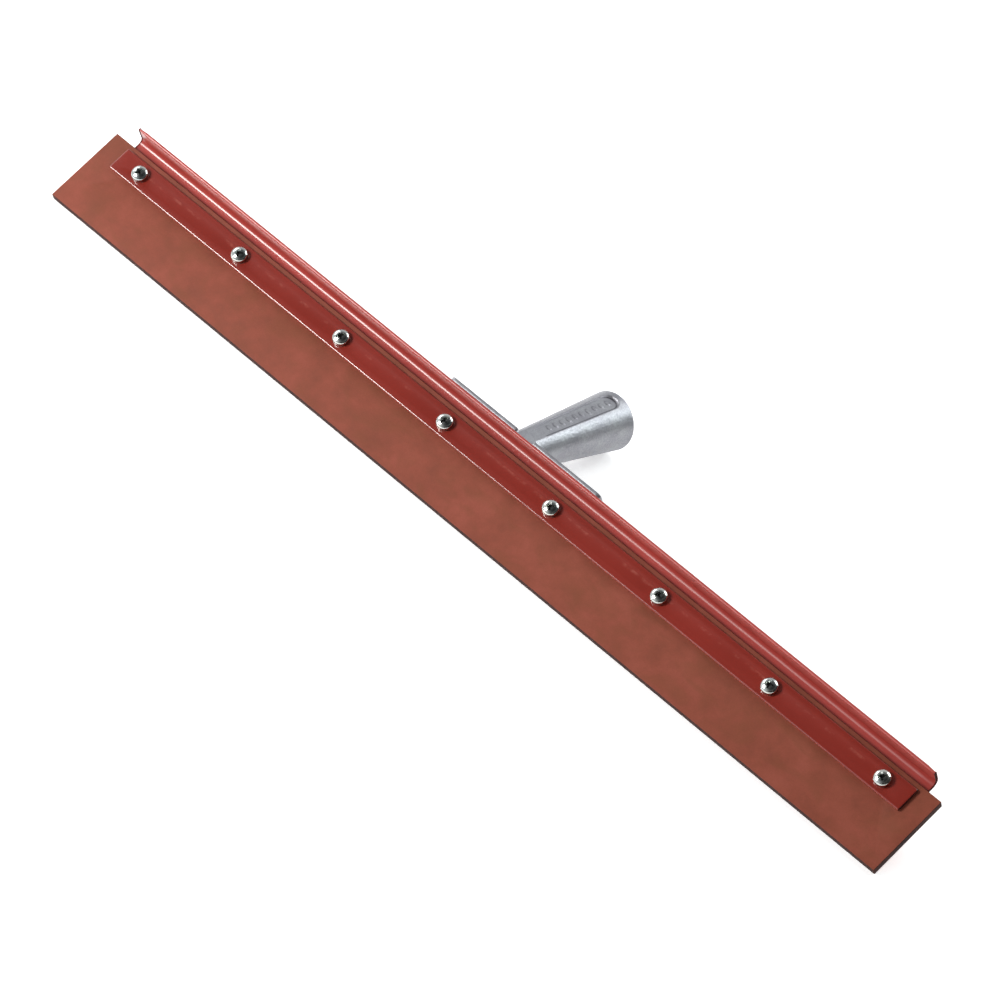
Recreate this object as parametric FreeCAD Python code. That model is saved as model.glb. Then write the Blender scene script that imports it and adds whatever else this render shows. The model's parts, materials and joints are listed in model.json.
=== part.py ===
import FreeCAD, Part
import math
import os

# Straight floor squeegee head: a rubber blade clamped between a folded steel
# frame and a flat steel strip by a row of machine screws, with a cast
# aluminium handle socket bolted to the back.  Millimetres.
#
# Everything is designed in the blade's own directions:
#   X along the blade, Y backwards from the blade's front face, Z up from its lip.
# The finished head is then laid down as it rests on a bench, on the back edge
# of the blade's lip and the rim of the socket, screws upwards.

Vector = FreeCAD.Vector

# ---------------------------------------------------------------- driving dimensions
blade_length = 609.6
blade_height = 49.5
blade_thickness = 4.8
blade_corner_radius = 0.4

strip_end_inset = 12.7
strip_width = 15.0
strip_thickness = 2.0
strip_corner_radius = 1.0
strip_edge_radius = 0.8

frame_end_inset = 10.8
frame_sheet = 1.9
frame_bend_radius = 3.0
flange_inside_depth = 11.0
flange_above_blade = 7.2
frame_corner_radius = 1.2

screw_count = 8
screw_to_strip_end = 17.35
screw_row_below_blade_top = 10.5
screw_diameter = 4.8
screw_length = 19.0
screw_end_chamfer = 0.5
head_diameter = 9.5
head_height = 3.4
head_rim_height = 1.3
recess_span = 4.9
recess_width = 1.15
recess_depth = 2.1
hole_clearance = 0.2

washer_outside_diameter = 8.7
washer_thickness = 1.2
washer_gap = 0.9
nut_across_flats = 9.5
nut_height = 3.2
nut_chamfer_height = 0.5
thread_clearance = 0.05

foot_length = 110.0
foot_leg_thickness = 3.2
foot_ledge_thickness = 2.4
foot_ledge_setback = 1.2
foot_leg_corner_radius = 6.0
foot_ledge_corner_radius = 3.0
foot_below_screw_row = 8.0

socket_angle = 50.7
socket_axis_behind_web = 4.1
socket_axis_above_flange = 3.8
socket_length_above_datum = 65.1
socket_length_below_datum = 20.0
socket_mouth_diameter = 32.6
socket_taper_per_mm = 0.150
socket_rim_radius = 1.0
socket_root_fillet = 1.5
facet_half_angle = 22.0
facet_end_margin = 4.5
bore_diameter = 25.8
bore_straight_depth = 14.0
bore_total_depth = 58.0
bore_bottom_diameter = 18.6

# ---------------------------------------------------------------- derived places
strip_length = blade_length - 2 * strip_end_inset
frame_length = blade_length - 2 * frame_end_inset
web_front = blade_thickness
web_back = web_front + frame_sheet
flange_underside_height = blade_height + flange_above_blade
flange_top_height = flange_underside_height + frame_sheet
flange_front = web_front - flange_inside_depth
strip_front = -strip_thickness
hole_radius = screw_diameter / 2 + hole_clearance
screw_row_height = blade_height - screw_row_below_blade_top
screw_pitch = (strip_length - 2 * screw_to_strip_end) / (screw_count - 1)
screw_places = [(i - (screw_count - 1) / 2) * screw_pitch for i in range(screw_count)]
leg_back = web_back + foot_leg_thickness
leg_bottom = screw_row_height - foot_below_screw_row
ledge_top = flange_top_height + foot_ledge_thickness
web_bottom = screw_row_height - strip_width / 2

angle = math.radians(socket_angle)
socket_axis = Vector(0, math.cos(angle), math.sin(angle))
socket_top_side = Vector(0, -math.sin(angle), math.cos(angle))
socket_datum = Vector(0, web_back + socket_axis_behind_web, flange_top_height + socket_axis_above_flange)
socket_mouth = socket_datum + socket_axis * socket_length_above_datum
mouth_radius = socket_mouth_diameter / 2
socket_full_length = socket_length_above_datum + socket_length_below_datum
socket_root_radius = mouth_radius - socket_full_length * socket_taper_per_mm / 2


def box(x0, x1, y0, y1, z0, z1):
    """A block between two corners."""
    return Part.makeBox(x1 - x0, y1 - y0, z1 - z0, Vector(x0, y0, z0))


def edges_along(shape, direction, where=None):
    """The straight edges that run along a direction, kept if where(middle) holds."""
    found = []
    for edge in shape.Edges:
        if len(edge.Vertexes) != 2:
            continue
        run = edge.Vertexes[1].Point - edge.Vertexes[0].Point
        middle = (edge.Vertexes[1].Point + edge.Vertexes[0].Point) * 0.5
        parallel = abs(run.normalize().dot(direction)) > 0.9999
        if parallel and (where is None or where(middle)):
            found.append(edge)
    return found


def drill_row(shape, radius, y0, y1, places):
    """Straight holes through a plate, one on each screw's axis."""
    for x in places:
        centre = Vector(x, y0, screw_row_height)
        shape = shape.cut(Part.makeCylinder(radius, y1 - y0, centre, Vector(0, 1, 0)))
    return shape


def rubber_blade():
    half = blade_length / 2
    blade = box(-half, half, 0, blade_thickness, 0, blade_height)
    blade = blade.makeFillet(blade_corner_radius, edges_along(blade, Vector(0, 1, 0)))
    return drill_row(blade, hole_radius, -1, blade_thickness + 1, screw_places)


def clamp_strip():
    half = strip_length / 2
    low = screw_row_height - strip_width / 2
    strip = box(-half, half, strip_front, 0, low, low + strip_width)
    strip = strip.makeFillet(strip_corner_radius, edges_along(strip, Vector(0, 1, 0)))
    front_long_edges = edges_along(strip, Vector(1, 0, 0), lambda p: p.y < strip_front / 2)
    strip = strip.makeFillet(strip_edge_radius, front_long_edges)
    return drill_row(strip, hole_radius, strip_front - 1, 1, screw_places)


def frame_profile():
    """Section of the folded sheet: a web behind the blade and a flange over the screws."""
    bend_y = web_front - frame_bend_radius
    bend_z = flange_underside_height - frame_bend_radius
    outer_radius = frame_bend_radius + frame_sheet
    diagonal = math.sqrt(0.5)

    def at(y, z):
        return Vector(-frame_length / 2, y, z)

    def bend(radius, start, end):
        middle = at(bend_y + radius * diagonal, bend_z + radius * diagonal)
        return Part.Arc(start, middle, end).toShape()

    inner_low = at(web_front, bend_z)
    inner_high = at(bend_y, flange_underside_height)
    outer_high = at(bend_y, bend_z + outer_radius)
    outer_low = at(web_back, bend_z)
    front_low = at(flange_front, flange_underside_height)
    front_high = at(flange_front, flange_top_height)
    foot_front = at(web_front, web_bottom)
    foot_back = at(web_back, web_bottom)
    return Part.Wire([
        Part.LineSegment(foot_front, inner_low).toShape(),
        bend(frame_bend_radius, inner_low, inner_high),
        Part.LineSegment(inner_high, front_low).toShape(),
        Part.LineSegment(front_low, front_high).toShape(),
        Part.LineSegment(front_high, outer_high).toShape(),
        bend(outer_radius, outer_high, outer_low),
        Part.LineSegment(outer_low, foot_back).toShape(),
        Part.LineSegment(foot_back, foot_front).toShape(),
    ])


def frame():
    angle_bar = Part.Face(frame_profile()).extrude(Vector(frame_length, 0, 0))
    low_corners = edges_along(angle_bar, Vector(0, 1, 0), lambda p: p.z < web_bottom + 0.1)
    front_corners = edges_along(angle_bar, Vector(0, 0, 1), lambda p: p.y < flange_front + 0.1)
    angle_bar = angle_bar.makeFillet(frame_corner_radius, low_corners + front_corners)
    return drill_row(angle_bar, hole_radius, web_front - 1, web_back + 1, screw_places)


def socket_foot():
    """The casting's foot: a leg down the back of the web and a ledge over the flange."""
    half = foot_length / 2
    ledge_front = flange_front + foot_ledge_setback
    leg = box(-half, half, web_back, leg_back, leg_bottom, ledge_top)
    leg = leg.makeFillet(
        foot_leg_corner_radius,
        edges_along(leg, Vector(0, 1, 0), lambda p: p.z < leg_bottom + 0.1))
    ledge = box(-half, half, ledge_front, leg_back, flange_top_height, ledge_top)
    ledge = ledge.makeFillet(
        foot_ledge_corner_radius,
        edges_along(ledge, Vector(0, 0, 1), lambda p: p.y < ledge_front + 0.1))
    return leg.fuse(ledge).removeSplitter()


def socket_cone():
    """The tapered outside, run on below the foot and trimmed to the frame."""
    start = socket_datum - socket_axis * socket_length_below_datum
    cone = Part.makeCone(
        socket_root_radius, mouth_radius, socket_full_length, start, socket_axis)
    reach = 4 * mouth_radius
    over_flange = box(-reach, reach, -reach, reach * 2, flange_top_height, reach * 3)
    behind_web = box(-reach, reach, web_back, reach * 2, 0, flange_top_height)
    return cone.common(over_flange.fuse(behind_web))


def root_edges(casting):
    """Where the cone runs into the foot's top and back."""
    found = []
    for edge in casting.Edges:
        if isinstance(edge.Curve, Part.Ellipse):
            middle = edge.CenterOfMass
            if abs(middle.z - ledge_top) < 0.01 or abs(middle.y - leg_back) < 0.01:
                found.append(edge)
    return found


def facet_cutter():
    """Takes a flat along the upper side, with a round end just short of the mouth."""
    slope = socket_taper_per_mm / 2
    flat_at_mouth = mouth_radius * math.cos(math.radians(facet_half_angle))
    half_width = mouth_radius * math.sin(math.radians(facet_half_angle))
    along = (socket_axis + socket_top_side * slope).normalize()
    up = Vector(1, 0, 0).cross(along)
    end_centre = socket_mouth + socket_top_side * flat_at_mouth
    end_centre = end_centre - along * (facet_end_margin + half_width)
    depth = mouth_radius
    round_end = Part.makeCylinder(half_width, depth, end_centre, up)
    corner = end_centre - Vector(half_width, 0, 0) - along * socket_full_length
    side = Vector(2 * half_width, 0, 0)
    run = along * socket_full_length
    outline = Part.makePolygon([corner, corner + side, corner + side + run, corner + run, corner])
    slab = Part.Face(outline).extrude(up * depth)
    return round_end.fuse(slab)


def socket_bore():
    """Straight at the mouth for the handle's shank, then tapered for its tip."""
    inward = socket_axis * -1
    straight = Part.makeCylinder(
        bore_diameter / 2, bore_straight_depth + 1, socket_mouth + socket_axis, inward)
    taper_start = socket_mouth + inward * bore_straight_depth
    taper = Part.makeCone(
        bore_diameter / 2, bore_bottom_diameter / 2,
        bore_total_depth - bore_straight_depth, taper_start, inward)
    return straight.fuse(taper)


def handle_socket():
    foot = socket_foot()
    casting = foot.fuse(socket_cone()).removeSplitter()
    casting = casting.makeFillet(socket_root_fillet, root_edges(casting))
    casting = casting.cut(facet_cutter())
    casting = casting.cut(socket_bore())
    rim = []
    for edge in casting.Edges:
        if isinstance(edge.Curve, Part.Circle):
            on_mouth = (edge.Curve.Center - socket_mouth).Length < 0.01
            if on_mouth and edge.Curve.Radius > mouth_radius - 0.01:
                rim.append(edge)
    casting = casting.makeFillet(socket_rim_radius, rim)
    middle_places = [x for x in screw_places if abs(x) < foot_length / 2]
    return drill_row(casting, hole_radius, web_back - 1, leg_back + 1, middle_places)


def clamp_screw(x):
    """Pan head with a cross recess, standing on the front of the strip."""
    radius = head_diameter / 2
    crown_centre = Vector(0, strip_front - head_height, 0)
    rim = Vector(radius, strip_front - head_rim_height, 0)
    shoulder = Vector(radius * 0.82, strip_front - head_height * 0.86, 0)
    crown = Part.Arc(rim, shoulder, crown_centre).toShape()
    head_outline = Part.Wire([
        Part.LineSegment(Vector(0, strip_front, 0), Vector(radius, strip_front, 0)).toShape(),
        Part.LineSegment(Vector(radius, strip_front, 0), rim).toShape(),
        crown,
        Part.LineSegment(crown_centre, Vector(0, strip_front, 0)).toShape(),
    ])
    head = Part.Face(head_outline).revolve(Vector(0, 0, 0), Vector(0, 1, 0), 360)
    tip = strip_front + screw_length
    shank_radius = screw_diameter / 2
    shank = Part.makeCylinder(shank_radius, screw_length, Vector(0, strip_front, 0), Vector(0, 1, 0))
    end_edges = [e for e in shank.Edges if len(e.Vertexes) == 1 and abs(e.Curve.Center.y - tip) < 0.01]
    shank = shank.makeChamfer(screw_end_chamfer, end_edges)
    screw = head.fuse(shank).removeSplitter()
    crown_y = strip_front - head_height
    half_span = recess_span / 2
    half_width = recess_width / 2
    wing = box(-half_span, half_span, crown_y - 1, crown_y + recess_depth, -half_width, half_width)
    screw = screw.cut(wing)
    wing.rotate(Vector(0, 0, 0), Vector(0, 1, 0), 90)
    screw = screw.cut(wing)
    screw.translate(Vector(x, 0, screw_row_height))
    return screw


def seat_behind(x):
    """Where a washer seats: on the web, or on the socket's leg where that lies behind it."""
    return leg_back if abs(x) < foot_length / 2 else web_back


def lock_washer(x):
    """Split spring washer, drawn flat as it is when tight."""
    seat = Vector(x, seat_behind(x), screw_row_height)
    ring = Part.makeCylinder(washer_outside_diameter / 2, washer_thickness, seat, Vector(0, 1, 0))
    ring = ring.cut(Part.makeCylinder(hole_radius, washer_thickness, seat, Vector(0, 1, 0)))
    half_gap = washer_gap / 2
    split = box(
        x - half_gap, x + half_gap, seat.y - 1, seat.y + washer_thickness + 1,
        seat.z, seat.z + washer_outside_diameter)
    return ring.cut(split)


def nut(x):
    """Hexagon nut, chamfered on its outer face."""
    seat_y = seat_behind(x) + washer_thickness
    corner_radius = nut_across_flats / math.sqrt(3)
    corners = []
    for i in range(7):
        turn = math.radians(60 * i)
        corners.append(Vector(
            x + corner_radius * math.cos(turn), seat_y,
            screw_row_height + corner_radius * math.sin(turn)))
    hexagon = Part.Face(Part.makePolygon(corners)).extrude(Vector(0, nut_height, 0))
    seat = Vector(x, seat_y, screw_row_height)
    chamfer_run = nut_chamfer_height * math.sqrt(3)
    low_part = Part.makeCylinder(corner_radius, nut_height - nut_chamfer_height, seat, Vector(0, 1, 0))
    top_part = Part.makeCone(
        corner_radius, corner_radius - chamfer_run, nut_chamfer_height,
        seat + Vector(0, nut_height - nut_chamfer_height, 0), Vector(0, 1, 0))
    thread_hole = Part.makeCylinder(
        screw_diameter / 2 + thread_clearance, nut_height, seat, Vector(0, 1, 0))
    return hexagon.common(low_part.fuse(top_part)).cut(thread_hole)


def lie_angle():
    """Slope, in the YZ plane, of the line under the lip's back edge and the socket's rim."""
    rim_centre = socket_mouth - socket_axis * socket_rim_radius
    rim_centre = rim_centre - socket_top_side * (mouth_radius - socket_rim_radius)
    reach = rim_centre - Vector(0, blade_thickness, 0)
    return math.atan2(reach.z, reach.y) - math.asin(socket_rim_radius / reach.Length)


nodes = {
    "rubber_blade": rubber_blade(),
    "clamp_strip": clamp_strip(),
    "frame": frame(),
    "handle_socket": handle_socket(),
}
for number, place in enumerate(screw_places, start=1):
    nodes["clamp_screw_%d" % number] = clamp_screw(place)
    nodes["lock_washer_%d" % number] = lock_washer(place)
    nodes["nut_%d" % number] = nut(place)

# Laid down: turned about the lip's back edge, then centred over the origin.
lay_down = -math.degrees(lie_angle())
lip_back_edge = Vector(0, blade_thickness, 0)
for shape in nodes.values():
    shape.rotate(lip_back_edge, Vector(1, 0, 0), lay_down)
extent = FreeCAD.BoundBox()
for shape in nodes.values():
    extent.add(shape.optimalBoundingBox(False))
to_origin = Vector(0, -(extent.YMin + extent.YMax) / 2, -extent.ZMin)

os.makedirs("parts", exist_ok=True)
for name, shape in nodes.items():
    shape.translate(to_origin)
    shape.exportStep("parts/%s.step" % name)
    print(name, "valid", shape.isValid(), "solids", len(shape.Solids), "volume", round(shape.Volume, 1))
print("laid down by %.3f degrees, moved by y %.4f z %.4f" % (lay_down, to_origin.y, to_origin.z))
print("size", round(extent.XLength, 2), round(extent.YLength, 2), round(extent.ZLength, 2))
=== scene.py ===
import bpy
import bmesh
import json
import math
from mathutils import Matrix, Vector, noise


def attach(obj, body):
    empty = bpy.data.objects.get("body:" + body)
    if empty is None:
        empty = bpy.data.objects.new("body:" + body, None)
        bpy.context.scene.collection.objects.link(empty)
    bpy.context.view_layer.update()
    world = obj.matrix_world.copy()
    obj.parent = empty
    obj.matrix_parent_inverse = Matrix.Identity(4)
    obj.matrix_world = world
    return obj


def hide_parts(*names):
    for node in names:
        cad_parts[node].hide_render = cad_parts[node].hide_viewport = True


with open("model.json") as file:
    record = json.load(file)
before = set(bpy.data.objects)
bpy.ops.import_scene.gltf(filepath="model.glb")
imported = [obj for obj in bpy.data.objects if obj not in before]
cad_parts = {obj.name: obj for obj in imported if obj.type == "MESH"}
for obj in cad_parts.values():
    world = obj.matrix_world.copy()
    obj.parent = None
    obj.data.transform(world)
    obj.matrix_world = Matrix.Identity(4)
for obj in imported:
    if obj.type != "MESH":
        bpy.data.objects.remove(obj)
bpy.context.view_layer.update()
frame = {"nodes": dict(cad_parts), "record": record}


# ---------------------------------------------------------------------------
# Rubber blade
# The wiping blade is one sheet of red-brown gum rubber, cut to length with a
# knife.  The screws go through it, so it is held only by the squeeze of the
# frame and the strip.  The lip is square cut and the faces are dull.

# The blade's own directions, from the lip's mount: along, back from its
# front face, and up from its lip.  Every piece is drawn in these, then
# turned into the lying head.
lip = next(m for m in frame["record"]["mounts"] if m["name"] == "blade_lip")
along = Vector((1, 0, 0))
up = -Vector(lip["axis"]).normalized()
back = up.cross(along)
turned = Matrix((along, back, up)).transposed().to_4x4()
lip_middle = Vector(lip["pos_m"])


def span(node):
    """Lowest and highest corner of a CAD piece in the blade's directions, from the lip's middle."""
    points = [turned.transposed() @ (v.co - lip_middle) for v in frame["nodes"][node].data.vertices]
    low = Vector(min(p[i] for p in points) for i in range(3))
    high = Vector(max(p[i] for p in points) for i in range(3))
    return low, high


def lay_down(mesh):
    """Turns a mesh drawn in the blade's directions into the way the head lies."""
    mesh.transform(Matrix.Translation(lip_middle) @ turned)
    mesh.update()


def smooth_sides(mesh, degrees=35):
    """Smooth shading over the rounds, with creases left at real corners."""
    mesh.shade_smooth()
    mesh.set_sharp_from_angle(angle=math.radians(degrees))


def finished(name, mesh, material, slot, *nodes):
    """Shows a mesh as a piece of the head in place of its CAD nodes."""
    mesh.name = name
    mesh.materials.clear()
    mesh.materials.append(material)
    piece = bpy.data.objects.new(name, mesh)
    bpy.context.scene.collection.objects.link(piece)
    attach(piece, "root")
    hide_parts(*nodes)


def second_finish(mesh, material, chosen):
    """Gives the chosen faces of a mesh another material."""
    mesh.materials.append(material)
    mesh.polygons.foreach_set("material_index", [int(is_chosen) for is_chosen in chosen])


def rounded_outline(low, high, radius, steps=5):
    """Corners of a rectangle in the along-up plane, each rounded by an arc."""
    corners = [(high.x, high.z, 0), (low.x, high.z, 90), (low.x, low.z, 180), (high.x, low.z, 270)]
    outline = []
    for x, z, start in corners:
        centre_x = x - math.copysign(radius, x - (low.x + high.x) / 2)
        centre_z = z - math.copysign(radius, z - (low.z + high.z) / 2)
        for step in range(steps + 1):
            turn = math.radians(start + 90 * step / steps)
            outline.append((centre_x + radius * math.cos(turn), centre_z + radius * math.sin(turn)))
    return outline


def round_hole(x, z, radius, steps=32):
    """Points of a round hole in the along-up plane."""
    turns = [2 * math.pi * i / steps for i in range(steps)]
    return [(x + radius * math.cos(t), z + radius * math.sin(t)) for t in turns]


def plate(outlines, front, rear, edge):
    """A flat plate with holes, its front and rear edges rounded, from closed outlines."""
    curve = bpy.data.curves.new("plate", "CURVE")
    curve.dimensions = "2D"
    curve.fill_mode = "BOTH"
    curve.bevel_mode = "ROUND"
    curve.extrude = (rear - front) / 2 - edge
    curve.bevel_depth = edge
    curve.bevel_resolution = 3
    curve.offset = -edge
    for outline in outlines:
        line = curve.splines.new("POLY")
        line.points.add(len(outline) - 1)
        for point, (x, z) in zip(line.points, outline):
            point.co = (x, z, 0, 1)
        line.use_cyclic_u = True
    maker = bpy.data.objects.new("plate", curve)
    mesh = bpy.data.meshes.new_from_object(maker)
    bpy.data.objects.remove(maker)
    # The curve is drawn flat, so its plane is stood up along the blade.
    stand = Matrix(((1, 0, 0, 0), (0, 0, -1, (front + rear) / 2), (0, 1, 0, 0), (0, 0, 0, 1)))
    mesh.transform(stand)
    work = bmesh.new()
    work.from_mesh(mesh)
    weld_distance = 1e-6
    bmesh.ops.remove_doubles(work, verts=work.verts, dist=weld_distance)
    bmesh.ops.recalc_face_normals(work, faces=work.faces)
    work.to_mesh(mesh)
    work.free()
    return mesh


def new_material(name):
    """A material with its shader, and a short way to add and join nodes."""
    material = bpy.data.materials.new(name)
    material.use_nodes = True
    tree = material.node_tree
    shader = tree.nodes["Principled BSDF"]

    def add(kind, inputs=(), **settings):
        node = tree.nodes.new(kind)
        for key, value in settings.items():
            setattr(node, key, value)
        for key, value in dict(inputs).items():
            if isinstance(value, bpy.types.NodeSocket):
                tree.links.new(value, node.inputs[key])
            else:
                node.inputs[key].default_value = value
        return node

    return material, shader, add, tree.links.new


def ramp(add, factor, stops):
    """A colour ramp from (place, linear colour) stops."""
    node = add("ShaderNodeValToRGB", {"Fac": factor})
    stripe = node.color_ramp
    stops = list(stops)
    while len(stripe.elements) < len(stops):
        stripe.elements.new(0.5)
    for element, (place, colour) in zip(stripe.elements, stops):
        element.position = place
        element.color = (*colour, 1)
    return node.outputs["Color"]


def grey(value):
    """A colour without a tint, for masks and roughness."""
    return (value, value, value)


def gum_rubber():
    """Dull red-brown rubber, clouded by its filler, with faint calender streaks and bloom."""
    material, shader, add, join = new_material("gum rubber")
    place = add("ShaderNodeTexCoord").outputs["Object"]
    stretched = add("ShaderNodeMapping", {"Vector": place, "Scale": (0.6, 1, 1)}).outputs[0]
    clouds = add("ShaderNodeTexNoise", {"Vector": place, "Scale": 60, "Detail": 5, "Roughness": 0.62})
    patches = add("ShaderNodeTexNoise", {
        "Vector": stretched, "Scale": 85, "Detail": 3, "Distortion": 0.6})
    grain = add("ShaderNodeTexNoise", {"Vector": place, "Scale": 1500, "Detail": 2})
    streaks = add("ShaderNodeMapping", {"Vector": place, "Scale": (0.02, 1, 1)}).outputs[0]
    rolled = add("ShaderNodeTexNoise", {"Vector": streaks, "Scale": 700, "Detail": 2})
    base = ramp(add, clouds.outputs["Fac"], [
        (0.3, (0.196, 0.045, 0.022)), (0.5, (0.236, 0.052, 0.027)), (0.7, (0.272, 0.062, 0.036))])
    olive = ramp(add, patches.outputs["Fac"], [(0.48, grey(0.0)), (0.7, grey(0.6))])
    tinted = add("ShaderNodeMix", {"Factor": olive, "A": base, "B": (0.19, 0.049, 0.019, 1)},
                 data_type="RGBA")
    speck = ramp(add, grain.outputs["Fac"], [(0.35, grey(0.93)), (0.65, grey(1.0))])
    colour = add("ShaderNodeMix", {"Factor": 1.0, "A": tinted.outputs["Result"], "B": speck},
                 data_type="RGBA", blend_type="MULTIPLY")
    join(colour.outputs["Result"], shader.inputs["Base Color"])
    rough = ramp(add, clouds.outputs["Fac"], [(0.3, grey(0.52)), (0.7, grey(0.66))])
    join(rough, shader.inputs["Roughness"])
    shader.inputs["IOR"].default_value = 1.5
    shader.inputs["Specular IOR Level"].default_value = 0.3
    shader.inputs["Sheen Weight"].default_value = 0.03
    shader.inputs["Sheen Roughness"].default_value = 0.5
    fine = add("ShaderNodeBump", {"Height": grain.outputs["Fac"], "Strength": 0.25, "Distance": 0.0001})
    rolls = add("ShaderNodeBump", {
        "Height": rolled.outputs["Fac"], "Strength": 0.2, "Distance": 0.0001, "Normal": fine.outputs[0]})
    waves = add("ShaderNodeBump", {
        "Height": patches.outputs["Fac"], "Strength": 0.3, "Distance": 0.0006,
        "Normal": rolls.outputs[0]})
    join(waves.outputs[0], shader.inputs["Normal"])
    return material


def shaded_cut_rubber():
    """The knife-cut rim of the same rubber: dull and finely scored, and painted near black as painted
    shade.
    """
    material, shader, add, join = new_material("cut rubber")
    place = add("ShaderNodeTexCoord").outputs["Object"]
    across = add("ShaderNodeMapping", {"Vector": place, "Scale": (1, 0.08, 0.08)}).outputs[0]
    scores = add("ShaderNodeTexNoise", {"Vector": across, "Scale": 1300, "Detail": 3})
    # Painted shade: the rim is several times darker than the blade's faces.
    base = ramp(add, scores.outputs["Fac"], [(0.3, (0.024, 0.008, 0.007)), (0.7, (0.05, 0.015, 0.011))])
    join(base, shader.inputs["Base Color"])
    shader.inputs["Roughness"].default_value = 0.82
    shader.inputs["Specular IOR Level"].default_value = 0.25
    scored = add("ShaderNodeBump", {
        "Height": scores.outputs["Fac"], "Strength": 0.5, "Distance": 0.0001})
    join(scored.outputs[0], shader.inputs["Normal"])
    return material


screw_numbers = range(1, 9)
screw_places = []
for number in screw_numbers:
    low, high = span("clamp_screw_%d" % number)
    screw_places.append(((low.x + high.x) / 2, (low.z + high.z) / 2))

blade_low, blade_high = span("rubber_blade")
blade_corner = 0.0004
blade_edge = 0.00025
screw_hole = 0.0026
front_or_back = 0.9
blade = plate(
    [rounded_outline(blade_low, blade_high, blade_corner)]
    + [round_hole(x, z, screw_hole) for x, z in screw_places],
    blade_low.y, blade_high.y, blade_edge)
smooth_sides(blade)
cut_faces = [abs(face.normal.y) < front_or_back for face in blade.polygons]
lay_down(blade)
finished("rubber_sheet", blade, gum_rubber(), "gum_rubber", "rubber_blade")
second_finish(blade, shaded_cut_rubber(), cut_faces)


# ---------------------------------------------------------------------------
# Frame
# A strip of sheet steel folded once into an angle: the web backs the rubber
# and the flange comes forward over the screw heads.  It is sheared, punched,
# folded and then dipped in gloss red enamel, which rounds every sheared edge.


def folded_section(web_front, web_back, flange_front, web_bottom, flange_under, flange_top,
                   bend, edge, lip_edge):
    """Closed outline (back, up) of the folded sheet, with its sheared edges rounded by paint."""
    bend_back = web_front - bend
    bend_up = flange_under - bend
    outer = bend + (web_back - web_front)

    def arc(centre_back, centre_up, radius, start, end, steps):
        turns = [math.radians(start + (end - start) * i / steps) for i in range(steps + 1)]
        return [(centre_back + radius * math.cos(t), centre_up + radius * math.sin(t)) for t in turns]

    return (
        arc(web_front + edge, web_bottom + edge, edge, 270, 180, 4)
        + arc(bend_back, bend_up, bend, 0, 90, 16)
        + arc(flange_front + lip_edge, flange_under + lip_edge, lip_edge, 270, 180, 8)
        + arc(flange_front + lip_edge, flange_top - lip_edge, lip_edge, 180, 90, 8)
        + arc(bend_back, bend_up, outer, 90, 0, 12)
        + arc(web_back - edge, web_bottom + edge, edge, 360, 270, 4))


def inward_normals(section):
    """Unit directions into the metal at each point of a closed outline."""
    count = len(section)
    area = sum(section[i][0] * section[(i + 1) % count][1] - section[(i + 1) % count][0] * section[i][1]
               for i in range(count))
    side = 1 if area > 0 else -1
    normals = []
    for i in range(count):
        before, after = section[i - 1], section[(i + 1) % count]
        run = Vector((after[0] - before[0], after[1] - before[1])).normalized()
        normals.append((-run.y * side, run.x * side))
    return normals


def solid_of_rings(rings, closed=False):
    """A solid over rings of points, capped at its two ends or closed round on itself."""
    work = bmesh.new()
    loops = [[work.verts.new(point) for point in ring] for ring in rings]
    count = len(loops[0])
    followers = loops[1:] + loops[:1] if closed else loops[1:]
    for first, second in zip(loops, followers):
        for i in range(count):
            j = (i + 1) % count
            work.faces.new((first[i], first[j], second[j], second[i]))
    if not closed:
        work.faces.new(loops[0])
        work.faces.new(loops[-1])
    bmesh.ops.recalc_face_normals(work, faces=work.faces)
    mesh = bpy.data.meshes.new("solid")
    work.to_mesh(mesh)
    work.free()
    return mesh


def swept_bar(section, start, end, edge, stations=120, round_steps=3):
    """Sweeps a closed section along the blade, drawn in slightly at its rounded ends."""
    places = []
    for step in range(round_steps + 1):
        turn = math.radians(90 * step / round_steps)
        places.append((start + edge * (1 - math.sin(turn)), edge * (1 - math.cos(turn))))
    for step in range(1, stations):
        places.append((start + edge + (end - start - 2 * edge) * step / stations, 0.0))
    for step in range(round_steps, -1, -1):
        turn = math.radians(90 * step / round_steps)
        places.append((end - edge * (1 - math.sin(turn)), edge * (1 - math.cos(turn))))
    inward = inward_normals(section)
    rings = []
    for x, shrink in places:
        rings.append([
            (x, point_back + in_back * shrink, point_up + in_up * shrink)
            for (point_back, point_up), (in_back, in_up) in zip(section, inward)])
    return solid_of_rings(rings)


def modified(mesh, kind, **settings):
    """The mesh that one modifier makes of another."""
    maker = bpy.data.objects.new("maker", mesh)
    bpy.context.scene.collection.objects.link(maker)
    modifier = maker.modifiers.new("modifier", kind)
    for key, value in settings.items():
        setattr(modifier, key, value)
    bpy.context.view_layer.update()
    result = bpy.data.meshes.new_from_object(maker.evaluated_get(bpy.context.evaluated_depsgraph_get()))
    bpy.data.objects.remove(maker)
    return result


def cut_out(mesh, cutter):
    """Cuts one closed mesh out of another and returns the result."""
    tool = bpy.data.objects.new("tool", cutter)
    bpy.context.scene.collection.objects.link(tool)
    result = modified(mesh, "BOOLEAN", operation="DIFFERENCE", solver="EXACT", object=tool)
    bpy.data.objects.remove(tool)
    return result


def drill_row(places, radius, front, rear, steps=32):
    """One mesh of round drills, each on a screw's axis."""
    work = bmesh.new()
    for x, z in places:
        stood = Matrix.Rotation(math.radians(90), 4, "X")
        where = Matrix.Translation((x, (front + rear) / 2, z)) @ stood
        bmesh.ops.create_cone(
            work, cap_ends=True, segments=steps, radius1=radius, radius2=radius,
            depth=rear - front, matrix=where)
    mesh = bpy.data.meshes.new("drills")
    work.to_mesh(mesh)
    work.free()
    return mesh


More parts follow.
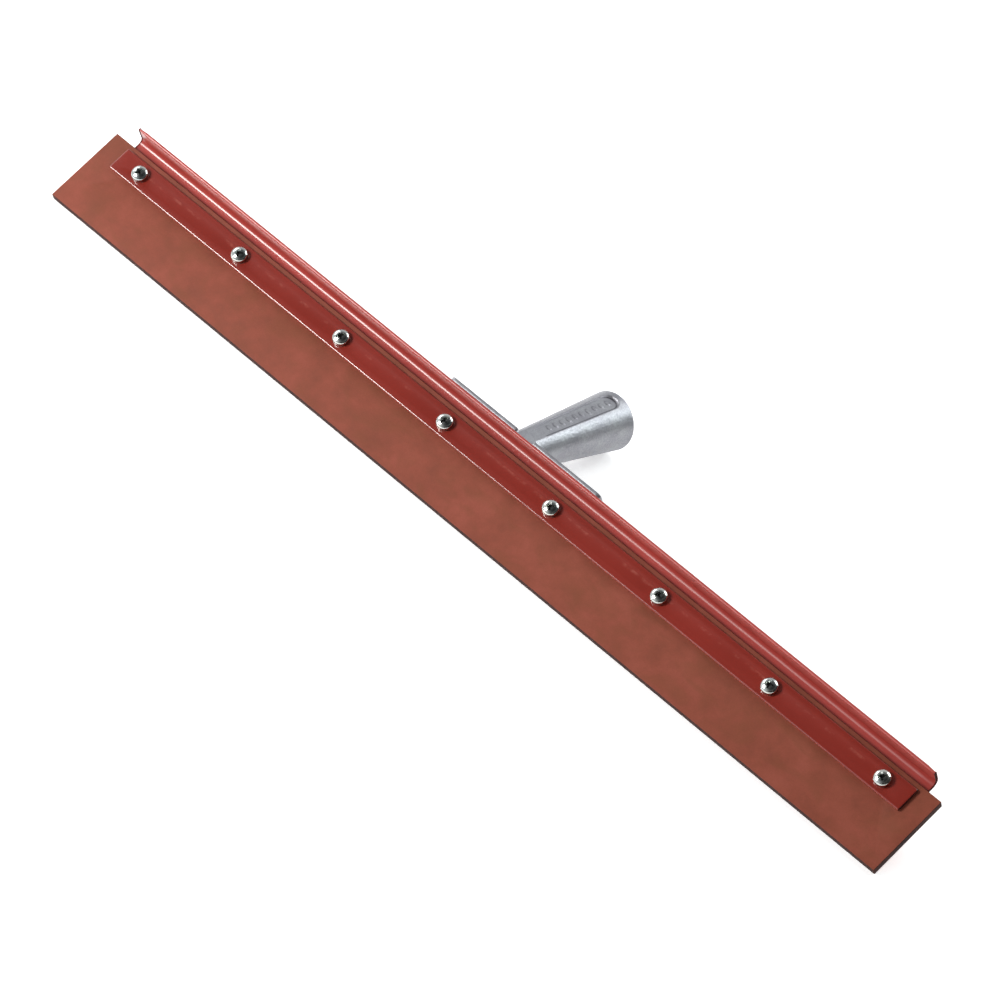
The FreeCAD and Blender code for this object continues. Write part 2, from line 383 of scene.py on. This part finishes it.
def red_enamel(name, tones, clear_index, clear_roughness):
    """Gloss red enamel over sheet steel: flowed out, slightly rippled, thin on the edges."""
    material, shader, add, join = new_material(name)
    place = add("ShaderNodeTexCoord").outputs["Object"]
    flow = add("ShaderNodeMapping", {"Vector": place, "Scale": (0.35, 1, 1)}).outputs[0]
    body = add("ShaderNodeTexNoise", {"Vector": flow, "Scale": 28, "Detail": 3})
    ripple = add("ShaderNodeTexNoise", {"Vector": flow, "Scale": 220, "Detail": 2, "Roughness": 0.4})
    dust = add("ShaderNodeTexNoise", {"Vector": place, "Scale": 1900, "Detail": 3})
    wear = add("ShaderNodeTexNoise", {"Vector": place, "Scale": 130, "Detail": 6, "Roughness": 0.7})
    base = ramp(add, body.outputs["Fac"], zip((0.3, 0.55, 0.75), tones))
    edge = add("ShaderNodeNewGeometry").outputs["Pointiness"]
    thin = ramp(add, edge, [(0.52, grey(0.0)), (0.6, grey(1.0))])
    rubbed = ramp(add, wear.outputs["Fac"], [(0.5, grey(0.0)), (0.7, grey(0.5))])
    bare = add("ShaderNodeMath", {0: thin, 1: rubbed}, operation="MULTIPLY").outputs[0]
    colour = add("ShaderNodeMix", {"Factor": bare, "A": base, "B": (0.42, 0.12, 0.09, 1)},
                 data_type="RGBA")
    join(colour.outputs["Result"], shader.inputs["Base Color"])
    rough = ramp(add, dust.outputs["Fac"], [(0.35, grey(0.3)), (0.7, grey(0.42))])
    join(rough, shader.inputs["Roughness"])
    shader.inputs["IOR"].default_value = 1.52
    shader.inputs["Specular IOR Level"].default_value = 0.22
    shader.inputs["Sheen Weight"].default_value = 0.06
    shader.inputs["Sheen Roughness"].default_value = 0.35
    shader.inputs["Sheen Tint"].default_value = (1.0, 0.6, 0.52, 1)
    shader.inputs["Coat Weight"].default_value = 0.95
    shader.inputs["Coat Roughness"].default_value = clear_roughness
    shader.inputs["Coat IOR"].default_value = clear_index
    peel = add("ShaderNodeBump", {
        "Height": ripple.outputs["Fac"], "Strength": 0.02, "Distance": 0.0003})
    sag = add("ShaderNodeBump", {
        "Height": body.outputs["Fac"], "Strength": 0.04, "Distance": 0.001,
        "Normal": peel.outputs[0]})
    join(sag.outputs[0], shader.inputs["Normal"])
    join(sag.outputs[0], shader.inputs["Coat Normal"])
    return material


def end_shade_enamel():
    """The same enamel on the sheared ends, painted nearly black as painted shade, dull and lumpy."""
    material, shader, add, join = new_material("end_shaded enamel")
    place = add("ShaderNodeTexCoord").outputs["Object"]
    crust = add("ShaderNodeTexNoise", {"Vector": place, "Scale": 900, "Detail": 3})
    base = ramp(add, crust.outputs["Fac"], [(0.3, (0.022, 0.003, 0.003)), (0.7, (0.045, 0.006, 0.005))])
    join(base, shader.inputs["Base Color"])
    shader.inputs["Roughness"].default_value = 0.7
    shader.inputs["Specular IOR Level"].default_value = 0.15
    lumps = add("ShaderNodeBump", {"Height": crust.outputs["Fac"], "Strength": 0.4, "Distance": 0.0001})
    join(lumps.outputs[0], shader.inputs["Normal"])
    return material


# Faces turned along the bar get the painted end shade.
end_facing = 0.6


def on_ends(mesh):
    """Whether each face belongs to the bar's sheared ends."""
    return [abs(face.normal.x) > end_facing for face in mesh.polygons]


frame_low, frame_high = span("frame")
sheet = 0.0019
bend_inside = 0.003
sheared_edge = 0.00045
flange_lip_edge = 0.00085
drill_overrun = 0.002
section = folded_section(
    frame_high.y - sheet, frame_high.y, frame_low.y, frame_low.z,
    frame_high.z - sheet, frame_high.z, bend_inside, sheared_edge, flange_lip_edge)
angle_bar = swept_bar(section, frame_low.x, frame_high.x, sheared_edge)
drills = drill_row(screw_places, screw_hole, 0.0, frame_high.y + drill_overrun)
angle_bar = cut_out(angle_bar, drills)
smooth_sides(angle_bar)
frame_ends = on_ends(angle_bar)
lay_down(angle_bar)
# The frame's tones are about twice the strip's: the same enamel, painted lighter as painted light on the
# web.
lightened_frame_enamel = red_enamel(
    "frame enamel", [(0.34, 0.042, 0.033), (0.39, 0.05, 0.04), (0.46, 0.062, 0.05)], 1.5, 0.28)
# Painted shade for the sheared ends of the frame and the strip.
painted_end_shade = end_shade_enamel()
finished("folded_frame", angle_bar, lightened_frame_enamel, "red_enamel", "frame")
second_finish(angle_bar, painted_end_shade, frame_ends)


# ---------------------------------------------------------------------------
# Clamp strip
# A flat steel bar that spreads the screws' squeeze along the rubber.  It is
# cut a little shorter than the frame, punched to match it, and dipped in the
# same red enamel, with its long front edges rounded.

strip_low, strip_high = span("clamp_strip")
strip_corner = 0.001
strip_edge = 0.0008
strip = plate(
    [rounded_outline(strip_low, strip_high, strip_corner)]
    + [round_hole(x, z, screw_hole) for x, z in screw_places],
    strip_low.y, strip_high.y, strip_edge)
smooth_sides(strip)
strip_ends = on_ends(strip)
lay_down(strip)
strip_enamel = red_enamel(
    "strip enamel", [(0.18, 0.0135, 0.0065), (0.21, 0.016, 0.008), (0.238, 0.019, 0.01)], 1.6, 0.18)
finished("front_strip", strip, strip_enamel, "red_enamel", "clamp_strip")
second_finish(strip, painted_end_shade, strip_ends)


# ---------------------------------------------------------------------------
# Handle socket
# One aluminium sand casting: a foot that sits over the frame, and a tapered
# round socket for the handle, with a sunk panel of plain pips along its upper
# side.  It is left as it came from the sand, pebbled, with a little flash.

socket_mount = next(m for m in frame["record"]["mounts"] if m["name"] == "handle_bore")
upright = turned.to_3x3().transposed()
socket_axis = upright @ Vector(socket_mount["axis"]).normalized()


def copy_upright(node):
    """The CAD piece's mesh, turned back into the blade's directions."""
    mesh = frame["nodes"][node].data.copy()
    mesh.transform((Matrix.Translation(lip_middle) @ turned).inverted())
    return mesh


# The CAD piece is remade in even small quads, then relaxed, which rounds its
# corners as a sand mould does.
quad_size = 0.00042
casting = copy_upright("handle_socket")
casting = modified(casting, "REMESH", mode="VOXEL", voxel_size=quad_size, adaptivity=0)
casting = modified(casting, "SMOOTH", factor=0.5, iterations=4)

# Places on the cone: down from the mouth, across, and out to the upper side.
upper_side = along.cross(socket_axis)
bore_middle = upright @ (Vector(socket_mount["pos_m"]) - lip_middle)
mouth = bore_middle + socket_axis * (socket_mount["dims"]["length_mm"] / 2000)
mouth_radius = 0.0163
cone_slope = 0.075
flat_edge_turn = math.radians(22)
flat_height = mouth_radius * math.cos(flat_edge_turn)
flat_half_width = mouth_radius * math.sin(flat_edge_turn)
flat_from = 0.004
flat_to = 0.064
upward = 0.6
skin_reach = 0.0004
shade_reach = 0.0006
panel_from = 0.0045
panel_margin = 0.0006
panel_depth = 0.0004
panel_wall = 0.0004
pip_count = 10
pip_pitch = 0.0052
first_pip = 0.0058
pip_half_length = 0.0018
pip_half_width = 0.0024
pip_height = 0.00045
pip_steepness = 2.2
pip_wear = 0.25
wear_grain = 300
flash_turn = 122
flash_half_turn = 2.6
flash_from = 0.001
flash_to = 0.06
flash_height = 0.0004
flash_lowest = 0.35
flash_grain = 420
skin_band = 0.001
pebble_grain = 620
pebble_depth = 0.00008
dent_grain = 190
dent_shift = Vector((3, 1, 7))
dent_depth = 0.00009
# Where the painted shade lies: a line along the panel's inner corner and a ring round each pip's foot.
corner_line = 0.0003
corner_spread = 0.0006
foot_level = 0.3
foot_strength = 0.55


def cone_place(place):
    """How far a point is down from the mouth and out to the upper side."""
    from_mouth = place - mouth
    return -from_mouth.dot(socket_axis), from_mouth.dot(upper_side)


def on_flat(down, out, normal, reach):
    """Whether a point of the skin is on the socket's upper flat."""
    off = abs(out - (flat_height - cone_slope * down))
    return off < reach and flat_from < down < flat_to and normal.dot(upper_side) > upward


def inside_panel(down, across):
    """How far a place on the flat lies inside the sunk panel's round-ended outline."""
    radius = mouth_radius - cone_slope * down
    height = flat_height - cone_slope * down
    flat_here = math.sqrt(max(0.0, radius ** 2 - height ** 2))
    half = min(flat_half_width, flat_here) - panel_margin
    end_centre = panel_from + flat_half_width
    beyond = max(0.0, end_centre - down)
    return half - math.hypot(across, beyond)


def pip(down, across):
    """Height, from 0 to 1, of the row of low oval pips on the panel."""
    place = (down - panel_from - first_pip) / pip_pitch
    nearest = min(max(round(place), 0), pip_count - 1)
    reach = math.hypot((place - nearest) * pip_pitch / pip_half_length, across / pip_half_width)
    # Each pip takes its wear from its own stretch of the noise.
    spot = Vector((nearest * 1.7, across * wear_grain, down * wear_grain))
    worn = 1 - pip_wear + pip_wear * noise.noise(spot)
    return max(0.0, min(1.0, (1 - reach) * pip_steepness)) * worn


def skin(place, normal):
    """Move of one point of the casting's skin: panel, pips, flash, then the sand's dents."""
    down, out = cone_place(place)
    across = place.x
    move = Vector((0, 0, 0))
    if on_flat(down, out, normal, skin_reach):
        sunk = max(0.0, min(1.0, inside_panel(down, across) / panel_wall))
        move -= upper_side * (panel_depth - pip_height * pip(down, across)) * sunk
    round_turn = math.degrees(math.atan2(abs(across), out))
    ridge = max(0.0, 1 - abs(round_turn - flash_turn) / flash_half_turn)
    outside = math.hypot(across, out) > mouth_radius - cone_slope * down - skin_band
    if ridge > 0 and flash_from < down < flash_to and outside:
        ragged = flash_lowest + (1 - flash_lowest) * abs(noise.noise(place * flash_grain))
        move += normal * flash_height * ridge * ragged
    pebble = noise.noise(place * pebble_grain) * 0.5 + 0.5
    dent = noise.noise(place * dent_grain + dent_shift) * 0.5 + 0.5
    return move - normal * (pebble_depth * pebble + dent_depth * dent)


def painted_shade(place, normal):
    """How much painted shade, from 0 to 1, darkens the panel's inner corner and the ring round each
    pip's foot.
    """
    down, out = cone_place(place)
    if not on_flat(down, out, normal, shade_reach):
        return 0.0
    inside = inside_panel(down, place.x)
    in_corner = max(0.0, 1 - abs(inside - corner_line) / corner_spread)
    foot = pip(down, place.x)
    round_foot = 0.0
    if inside > 0 and 0 < foot < 2 * foot_level:
        round_foot = foot_strength * (1 - abs(foot - foot_level) / foot_level)
    return max(in_corner, round_foot)


# Painted shade for the panel's corner and the pips' feet, worked out before the skin moves and kept on
# the points.
normals = [v.normal.copy() for v in casting.vertices]
shade_amounts = [painted_shade(v.co, normal) for v, normal in zip(casting.vertices, normals)]
for vertex, normal in zip(casting.vertices, normals):
    vertex.co += skin(vertex.co.copy(), normal)
casting.update()
casting.attributes.new("painted_shade", "FLOAT", "POINT").data.foreach_set("value", shade_amounts)


def cast_aluminium():
    """Sand-cast aluminium: pale grey and dull, with painted shade in the panel's corner and round the
    pips.
    """
    material, shader, add, join = new_material("cast aluminium")
    place = add("ShaderNodeTexCoord").outputs["Object"]
    blotch = add("ShaderNodeTexNoise", {"Vector": place, "Scale": 90, "Detail": 5, "Roughness": 0.6})
    sand = add("ShaderNodeTexNoise", {
        "Vector": place, "Scale": 1100, "Detail": 4, "Roughness": 0.65})
    pits = add("ShaderNodeTexVoronoi", {"Vector": place, "Scale": 850}, feature="SMOOTH_F1")
    base = ramp(add, blotch.outputs["Fac"], [
        (0.3, (0.3, 0.3, 0.33)), (0.52, (0.345, 0.348, 0.375)), (0.72, (0.39, 0.4, 0.42))])
    shade = ramp(add, sand.outputs["Fac"], [(0.3, grey(0.78)), (0.62, grey(1.0))])
    colour = add("ShaderNodeMix", {"Factor": 1.0, "A": base, "B": shade},
                 data_type="RGBA", blend_type="MULTIPLY")
    shade_mask = add("ShaderNodeAttribute", attribute_name="painted_shade").outputs["Fac"]
    # Painted shade: the colour turns near black where the attribute is high.
    shaded_colour = add("ShaderNodeMix", {
        "Factor": shade_mask, "A": colour.outputs["Result"], "B": (0.06, 0.058, 0.07, 1)}, data_type="RGBA")
    join(shaded_colour.outputs["Result"], shader.inputs["Base Color"])
    shader.inputs["Metallic"].default_value = 0.85
    rough = ramp(add, sand.outputs["Fac"], [(0.3, grey(0.52)), (0.7, grey(0.4))])
    join(rough, shader.inputs["Roughness"])
    coarse = add("ShaderNodeBump", {
        "Height": sand.outputs["Fac"], "Strength": 0.25, "Distance": 0.0002})
    pitted = add("ShaderNodeBump", {
        "Height": pits.outputs["Distance"], "Strength": 0.2, "Distance": 0.0002,
        "Normal": coarse.outputs[0]})
    join(pitted.outputs[0], shader.inputs["Normal"])
    return material


smooth_sides(casting, 60)
lay_down(casting)
finished("cast_socket", casting, cast_aluminium(), "cast_aluminium", "handle_socket")


# ---------------------------------------------------------------------------
# Clamp screws
# Eight bright zinc-plated machine screws, No. 10 by 3/4 in, with pan heads
# and a cross recess.  They go in from the front, through strip, rubber and
# frame; the rolled thread shows past the nuts behind.

screw_low, screw_high = span("clamp_screw_1")
head_radius = (screw_high.x - screw_low.x) / 2
head_under = strip_low.y
head_top = screw_low.y
head_height = head_under - head_top
crown_height = head_height * 0.58
crown_flat = 0.0004
shank_radius = 0.0024
screw_tip = screw_high.y
thread_start = head_under + 0.0012
thread_end = screw_tip - 0.0006
thread_pitch = 0.00106
thread_depth = 0.0006
thread_run_in = 0.0004
thread_steepness = 1.25
thread_root = 0.12
tip_chamfer = 0.0002
recess_depth = 0.0022
wing_reach = 0.00245
wing_half = 0.00055
punch_overrun = 0.0008


def turned_part(rows, steps=48, closed=False):
    """A turned solid about the back-pointing axis, from rows of (radius, back) or functions of turn."""
    turns = [2 * math.pi * i / steps for i in range(steps)]
    rings = []
    for row in rows:
        ring = []
        for turn in turns:
            radius, depth = row(turn) if callable(row) else row
            ring.append((radius * math.cos(turn), depth, radius * math.sin(turn)))
        rings.append(ring)
    return solid_of_rings(rings, closed)


def head_rows(crown_steps=12):
    """Pan head from the flat of its crown round to its underside."""
    rows = [(crown_flat, head_top)]
    for step in range(1, crown_steps + 1):
        turn = math.radians(90 * step / crown_steps)
        rows.append((head_radius * math.sin(turn), head_top + crown_height * (1 - math.cos(turn))))
    for drawn_in, above in ((0.0, 0.00035), (0.0001, 0.0001), (0.0003, 0.0)):
        rows.append((head_radius - drawn_in, head_under - above))
    return rows


def thread_rows(rows_per_turn=8):
    """Rolled thread: a ridge that climbs one pitch in each turn, down to a chamfered end."""
    rows = [(shank_radius, head_under + 0.0001), (shank_radius, thread_start - thread_run_in)]
    steps = int((thread_end - thread_start) / thread_pitch * rows_per_turn)

    def ridge(depth):
        def at(turn):
            phase = (depth - thread_start) / thread_pitch - turn / (2 * math.pi)
            saw = abs((phase % 1.0) * 2 - 1)
            cut = max(0.0, min(1.0, (1 - saw) * thread_steepness - thread_root))
            return shank_radius - thread_depth * cut, depth
        return at

    for step in range(steps + 1):
        rows.append(ridge(thread_start + (thread_end - thread_start) * step / steps))
    rows.append((shank_radius - thread_depth, screw_tip - tip_chamfer / 2))
    rows.append((shank_radius - thread_depth - tip_chamfer, screw_tip))
    return rows


def recess_wing(quarter):
    """Punch for one bar of the cross recess, tapered to its bottom."""
    turn = Matrix.Rotation(math.radians(quarter), 4, "Y")
    rings = []
    # Each ring of the punch: where it is, and how far and how wide it reaches.
    for y, reach, half in (
            (head_top - punch_overrun, wing_reach * 1.28, wing_half * 1.25),
            (head_top + recess_depth * 0.72, wing_reach * 0.62, wing_half * 0.8),
            (head_top + recess_depth, wing_reach * 0.2, wing_half * 0.5)):
        corners = [(-reach, y, -half), (reach, y, -half), (reach, y, half), (-reach, y, half)]
        rings.append([turn @ Vector(corner) for corner in corners])
    return solid_of_rings(rings)


def recess_pit(steps=16):
    """Punch for the round middle of the cross recess, turned so that no side lines up with a wing's."""
    rows = [(0.0015, head_top - punch_overrun), (0.00115, head_top + 0.001), (0.0004, head_top + 0.0024)]
    mesh = turned_part(rows, steps)
    mesh.transform(Matrix.Rotation(math.radians(7), 4, "Y"))
    return mesh


def zinc_plate():
    """Bright zinc over steel: mirror-like, with faint drawing marks and a cool to yellow tint."""
    material, shader, add, join = new_material("zinc plate")
    place = add("ShaderNodeTexCoord").outputs["Object"]
    tint = add("ShaderNodeTexNoise", {"Vector": place, "Scale": 160, "Detail": 3})
    marks = add("ShaderNodeTexNoise", {"Vector": place, "Scale": 2400, "Detail": 3})
    base = ramp(add, tint.outputs["Fac"], [
        (0.35, (0.5, 0.54, 0.53)), (0.5, (0.6, 0.63, 0.6)), (0.7, (0.66, 0.66, 0.6))])
    join(base, shader.inputs["Base Color"])
    shader.inputs["Metallic"].default_value = 1.0
    rough = ramp(add, marks.outputs["Fac"], [(0.35, grey(0.1)), (0.7, grey(0.22))])
    join(rough, shader.inputs["Roughness"])
    bump = add("ShaderNodeBump", {"Height": marks.outputs["Fac"], "Strength": 0.12, "Distance": 0.0001})
    join(bump.outputs[0], shader.inputs["Normal"])
    return material


def recess_shade_finish():
    """Near-black painted shade in the cross recess, mottled a little."""
    material, shader, add, join = new_material("recess soil")
    place = add("ShaderNodeTexCoord").outputs["Object"]
    recess_mottle = add("ShaderNodeTexNoise", {"Vector": place, "Scale": 1800, "Detail": 3})
    base = ramp(add, recess_mottle.outputs["Fac"], [(0.35, (0.008, 0.009, 0.009)), (0.7, (0.05, 0.052, 0.05))])
    join(base, shader.inputs["Base Color"])
    shader.inputs["Metallic"].default_value = 0.4
    shader.inputs["Roughness"].default_value = 0.5
    return material


zinc = zinc_plate()
painted_recess_shade = recess_shade_finish()
head = turned_part(head_rows() + thread_rows())
for quarter in (0, 90):
    head = cut_out(head, recess_wing(quarter))
head = cut_out(head, recess_pit())
# Faces deep in the cross recess get the painted shade.
shade_from = head_top + 0.0007
shade_to = head_top + 0.0028
shade_radius = 0.0023
recess_shaded_faces = []
for face in head.polygons:
    in_recess = math.hypot(face.center.x, face.center.z) < shade_radius
    recess_shaded_faces.append(in_recess and shade_from < face.center.y < shade_to)
head_turns = (20, 62, 35, 8, 55, 28, 70, 44)
for number, (x, z), degrees in zip(screw_numbers, screw_places, head_turns):
    screw = head.copy()
    screw.transform(Matrix.Translation((x, 0, z)) @ Matrix.Rotation(math.radians(degrees), 4, "Y"))
    smooth_sides(screw, 40)
    lay_down(screw)
    finished("pan_screw_%d" % number, screw, zinc, "zinc_plate", "clamp_screw_%d" % number)
    second_finish(screw, painted_recess_shade, recess_shaded_faces)


# ---------------------------------------------------------------------------
# Lock washers
# Split spring washers of square wire, flattened under the nuts.  The cut
# ends stand a hair apart and bite into the nut and the frame.


def split_washer(inner, outer, front, rear, gap, edge=0.00012, steps=44):
    """A ring of rectangular wire with its corners eased and a slanted cut."""
    thickness = rear - front
    section = [
        (inner + edge, 0), (outer - edge, 0), (outer, edge), (outer, thickness - edge),
        (outer - edge, thickness), (inner + edge, thickness), (inner, thickness - edge), (inner, edge)]
    half_gap = gap / (inner + outer)
    rings = []
    for step in range(steps + 1):
        ring = []
        for radius, depth in section:
            slant = (depth / thickness - 0.5) * half_gap
            start = math.pi / 2 + half_gap + slant
            turn = start + (2 * math.pi - 2 * half_gap) * step / steps
            ring.append((radius * math.cos(turn), front + depth, radius * math.sin(turn)))
        rings.append(ring)
    return solid_of_rings(rings)


split_gap = 0.0009
for number, (x, z) in zip(screw_numbers, screw_places):
    low, high = span("lock_washer_%d" % number)
    washer = split_washer(screw_hole, (high.x - low.x) / 2, low.y, high.y, split_gap)
    washer.transform(Matrix.Translation((x, 0, z)))
    smooth_sides(washer, 30)
    lay_down(washer)
    finished("split_washer_%d" % number, washer, zinc, "zinc_plate", "lock_washer_%d" % number)


# ---------------------------------------------------------------------------
# Nuts
# Plain zinc-plated hexagon nuts, 3/8 in across the flats, chamfered on both
# faces.  The two middle ones bear on the casting's foot, so those screws
# also hold the socket.


def hexagon_nut(across_flats, bore, front, rear, lead_in=0.0004, face_share=0.97, steps=96):
    """Hexagon with chamfered corners and a tapped hole, as rings about its axis."""
    face_radius = across_flats / 2 * face_share
    slope = math.tan(math.radians(30))

    def wall(turn, from_front):
        off_flat = (turn + math.pi / 6) % (math.pi / 3) - math.pi / 6
        radius = across_flats / 2 / math.cos(off_flat)
        drop = max(0.0, radius - face_radius) * slope
        return radius, front + drop if from_front else rear - drop

    rows = [
        (bore, front + lead_in), (bore + lead_in, front), (face_radius, front),
        lambda turn: wall(turn, True), lambda turn: wall(turn, False),
        (face_radius, rear), (bore + lead_in, rear), (bore, rear - lead_in)]
    return turned_part(rows, steps, closed=True)


nut_bore = 0.00243
nut_turns = (12, 47, 5, 30, 22, 55, 38, 17)
for number, (x, z), degrees in zip(screw_numbers, screw_places, nut_turns):
    low, high = span("nut_%d" % number)
    nut = hexagon_nut(high.z - low.z, nut_bore, low.y, high.y)
    nut.transform(Matrix.Translation((x, 0, z)) @ Matrix.Rotation(math.radians(degrees), 4, "Y"))
    smooth_sides(nut, 25)
    lay_down(nut)
    finished("hex_nut_%d" % number, nut, zinc, "zinc_plate", "nut_%d" % number)


# ---------------------------------------------------------------------------
# Bench, light and camera
# The head lies on a white acrylic bench, lit a little from below, under soft
# studio panels.  The camera looks down on it from the front and the right,
# rolled to one side.


def stage_sheet(name, corners, material):
    """One flat four-cornered piece of the studio, which is no part of the head."""
    mesh = bpy.data.meshes.new(name)
    mesh.from_pydata(corners, [], [(0, 1, 2, 3)])
    mesh.materials.append(material)
    sheet_piece = bpy.data.objects.new(name, mesh)
    bpy.context.scene.collection.objects.link(sheet_piece)
    return sheet_piece


def bench():
    """White acrylic that glows a little."""
    material, shader = new_material("bench")[:2]
    shader.inputs["Base Color"].default_value = (0.93, 0.93, 0.93, 1)
    shader.inputs["Roughness"].default_value = 0.7
    shader.inputs["Emission Color"].default_value = (1, 1, 1, 1)
    shader.inputs["Emission Strength"].default_value = 0.5
    half = 6.0
    corners = [(-half, -half, 0), (half, -half, 0), (half, half, 0), (-half, half, 0)]
    stage_sheet("bench", corners, material)


def panel(name, place, target, size, power, colour=(1, 1, 1)):
    """A soft rectangular light turned to face a point."""
    light = bpy.data.lights.new(name, "AREA")
    light.shape = "RECTANGLE"
    light.size, light.size_y = size
    light.energy = power
    light.color = colour
    lamp = bpy.data.objects.new(name, light)
    lamp.location = place
    lamp.rotation_mode = "QUATERNION"
    lamp.rotation_quaternion = (Vector(target) - Vector(place)).to_track_quat("-Z", "Y")
    bpy.context.scene.collection.objects.link(lamp)


bench()
middle = (0, 0, 0.02)
panel("key", (-1.36, -1.63, 1.17), middle, (0.63, 0.69), 56, (1.0, 0.985, 0.96))
panel("left wall", (-2.3, 0.1, 1.1), middle, (1.4, 0.9), 10)
panel("back", (0.35, 1.5, 2.1), middle, (1.4, 1.0), 20)
panel("rim", (0.85, 2.05, 1.2), middle, (1.1, 0.8), 24, (0.92, 1.0, 0.99))


def black_card():
    """A black card at the right, out of the picture, that only shows in what is glossy."""
    material, shader = new_material("black card")[:2]
    shader.inputs["Base Color"].default_value = (0.01, 0.01, 0.01, 1)
    shader.inputs["Roughness"].default_value = 1.0
    place = 0.62
    half = 1.2
    height = 0.55
    corners = [(place, -half, 0), (place, half, 0), (place, half, height), (place, -half, height)]
    card = stage_sheet("black card", corners, material)
    card.visible_camera = False
    card.visible_diffuse = False
    card.visible_shadow = False


black_card()


def studio():
    """Pale room with a dark ceiling flag over the head's flat faces and a dark wall to the right."""
    world = bpy.data.worlds.new("studio")
    world.use_nodes = True
    tree = world.node_tree
    direction = tree.nodes.new("ShaderNodeTexCoord").outputs["Generated"]
    facing = tree.nodes.new("ShaderNodeVectorMath")
    facing.operation = "DOT_PRODUCT"
    tree.links.new(direction, facing.inputs[0])
    facing.inputs[1].default_value = Vector((-0.2, -0.24, 0.95)).normalized()
    fade = tree.nodes.new("ShaderNodeMapRange")
    fade.interpolation_type = "SMOOTHSTEP"
    tree.links.new(facing.outputs["Value"], fade.inputs["Value"])
    fade.inputs["From Min"].default_value = 0.62
    fade.inputs["From Max"].default_value = 0.92
    fade.inputs["To Min"].default_value = 0.75
    fade.inputs["To Max"].default_value = 0.12
    right = tree.nodes.new("ShaderNodeVectorMath")
    right.operation = "DOT_PRODUCT"
    tree.links.new(direction, right.inputs[0])
    right.inputs[1].default_value = Vector((0.93, -0.2, 0.3)).normalized()
    shaded = tree.nodes.new("ShaderNodeMapRange")
    shaded.interpolation_type = "SMOOTHSTEP"
    tree.links.new(right.outputs["Value"], shaded.inputs["Value"])
    shaded.inputs["From Min"].default_value = -0.1
    shaded.inputs["From Max"].default_value = 0.7
    shaded.inputs["To Min"].default_value = 1.0
    shaded.inputs["To Max"].default_value = 0.12
    strength = tree.nodes.new("ShaderNodeMath")
    strength.operation = "MULTIPLY"
    tree.links.new(fade.outputs["Result"], strength.inputs[0])
    tree.links.new(shaded.outputs["Result"], strength.inputs[1])
    background = tree.nodes["Background"]
    background.inputs["Color"].default_value = (0.95, 0.97, 1.0, 1)
    tree.links.new(strength.outputs[0], background.inputs["Strength"])
    return world


bpy.context.scene.world = studio()
bpy.context.scene.view_settings.view_transform = "Standard"

camera_data = bpy.data.cameras.new("camera")
camera_data.sensor_width = 36
camera_data.lens = 222.8
camera_data.clip_end = 50
camera = bpy.data.objects.new("camera", camera_data)
bpy.context.scene.collection.objects.link(camera)
azimuth = math.radians(33.68)
elevation = math.radians(39.20)
roll = math.radians(16.405)
distance = 3.199
aim = Vector((0.014, -0.0404, 0.0172))
view_back = Vector((
    math.sin(azimuth) * math.cos(elevation),
    -math.cos(azimuth) * math.cos(elevation),
    math.sin(elevation)))
level = (-view_back).to_track_quat("-Z", "Y").to_matrix()
camera.matrix_world = (
    Matrix.Translation(aim + view_back * distance) @ (level @ Matrix.Rotation(roll, 3, "Z")).to_4x4())
bpy.context.scene.camera = camera
